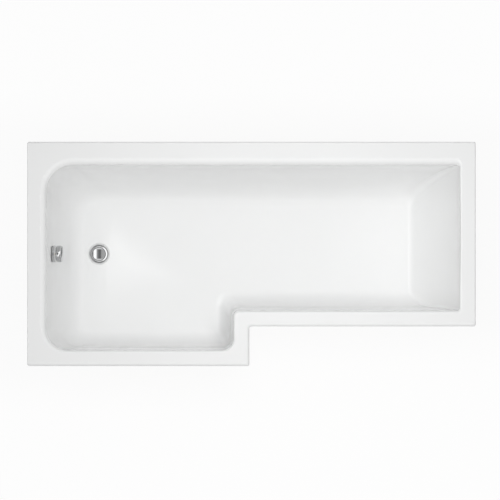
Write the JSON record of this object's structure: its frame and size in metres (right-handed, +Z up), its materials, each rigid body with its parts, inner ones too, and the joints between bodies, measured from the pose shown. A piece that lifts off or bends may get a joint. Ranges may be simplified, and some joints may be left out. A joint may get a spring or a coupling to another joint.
{
  "type": "shower bath",
  "caption": "L-shaped acrylic shower bath with a wider square shower end, sloping backrest, knob-operated pop-up waste and adjustable feet.",
  "frame": {"origin": "centre of the bounding box, on the floor that the feet stand on", "axes": "+X towards the head end with the backrest, -X towards the waste end, +Y towards the long wall side, +Z up"},
  "size_m": [1.7, 0.85, 0.55],
  "materials": {
    "acrylic": "high gloss",
    "glassfibre": "resin and glass strand, semi-matt",
    "chipboard": "raw board",
    "timber": "sawn",
    "galvanised_steel": "galvanised",
    "zinc_plated_steel": "bright zinc",
    "foot_plastic": "satin",
    "rubber": "matt",
    "chrome": "polished",
    "brass": "turned",
    "lever_plastic": "satin",
    "waste_plastic": "satin",
    "nut_plastic": "satin",
    "cable_sleeve": "satin"
  },
  "bodies": {
    "root": {"acrylic_tub": "acrylic", "glassfibre_backing": "glassfibre", "baseboard": "chipboard", "batten_back": "timber", "batten_waste_end": "timber", "batten_head": "timber", "batten_shower_front": "timber", "batten_step": "timber", "batten_front": "timber", "cradle_waste": "galvanised_steel", "cradle_middle": "galvanised_steel", "cradle_head": "galvanised_steel", "cradle_screws": "zinc_plated_steel", "rod_nuts": "zinc_plated_steel", "wall_brackets": "galvanised_steel", "bracket_screws": "zinc_plated_steel", "waste_flange": "chrome", "waste_upper_seal": "rubber", "waste_lower_seal": "rubber", "waste_body": "waste_plastic", "lever_axle": "zinc_plated_steel", "overflow_flange": "chrome", "overflow_front_seal": "rubber", "overflow_back_seal": "rubber", "overflow_elbow": "waste_plastic", "overflow_pipe": "waste_plastic", "pipe_nuts": "nut_plastic", "control_cable": "cable_sleeve"},
    "knob": {"overflow_knob": "chrome", "knob_spindle": "brass", "knob_screw": "zinc_plated_steel"},
    "lever": {"lift_lever": "lever_plastic"},
    "lifter": {"lifting_pin": "brass"},
    "plug": {"plug": "chrome", "plug_seal": "rubber"},
    "leg_waste_front": {"rod_waste_front": "zinc_plated_steel", "foot_waste_front": "foot_plastic", "sole_waste_front": "rubber"},
    "leg_waste_back": {"rod_waste_back": "zinc_plated_steel", "foot_waste_back": "foot_plastic", "sole_waste_back": "rubber"},
    "leg_middle_front": {"rod_middle_front": "zinc_plated_steel", "foot_middle_front": "foot_plastic", "sole_middle_front": "rubber"},
    "leg_middle_back": {"rod_middle_back": "zinc_plated_steel", "foot_middle_back": "foot_plastic", "sole_middle_back": "rubber"},
    "leg_head_front": {"rod_head_front": "zinc_plated_steel", "foot_head_front": "foot_plastic", "sole_head_front": "rubber"},
    "leg_head_back": {"rod_head_back": "zinc_plated_steel", "foot_head_back": "foot_plastic", "sole_head_back": "rubber"}
  },
  "joints": [
    {"name": "knob_turn", "type": "hinge", "parent": "root", "child": "knob", "pos_m": [-0.75493, 0, 0.375], "axis": [0.9834, 0, 0.1815], "range_deg": [0, 90]},
    {"name": "lever_turn", "type": "hinge", "parent": "root", "child": "lever", "pos_m": [-0.556, 0, 0.0978], "axis": [0, 1, 0], "range_deg": [0, 24.94]},
    {"name": "pin_lift", "type": "slide", "parent": "root", "child": "lifter", "axis": [0, 0, 1], "range_m": [0, 0.0095]},
    {"name": "plug_lift_out", "type": "slide", "parent": "lifter", "child": "plug", "axis": [0, 0, 1], "range_m": [0, 0.06]},
    {"name": "level_waste_front", "type": "slide", "parent": "root", "child": "leg_waste_front", "axis": [0, 0, -1], "range_m": [-0.02, 0.04]},
    {"name": "level_waste_back", "type": "slide", "parent": "root", "child": "leg_waste_back", "axis": [0, 0, -1], "range_m": [-0.02, 0.04]},
    {"name": "level_middle_front", "type": "slide", "parent": "root", "child": "leg_middle_front", "axis": [0, 0, -1], "range_m": [-0.02, 0.04]},
    {"name": "level_middle_back", "type": "slide", "parent": "root", "child": "leg_middle_back", "axis": [0, 0, -1], "range_m": [-0.02, 0.04]},
    {"name": "level_head_front", "type": "slide", "parent": "root", "child": "leg_head_front", "axis": [0, 0, -1], "range_m": [-0.02, 0.04]},
    {"name": "level_head_back", "type": "slide", "parent": "root", "child": "leg_head_back", "axis": [0, 0, -1], "range_m": [-0.02, 0.04]}
  ],
  "couplings": [
    {"joint": "lever_turn", "follows": "knob_turn", "ratio": 0.27709},
    {"joint": "pin_lift", "follows": "knob_turn", "m_per_rad": 0.006048}
  ]
}
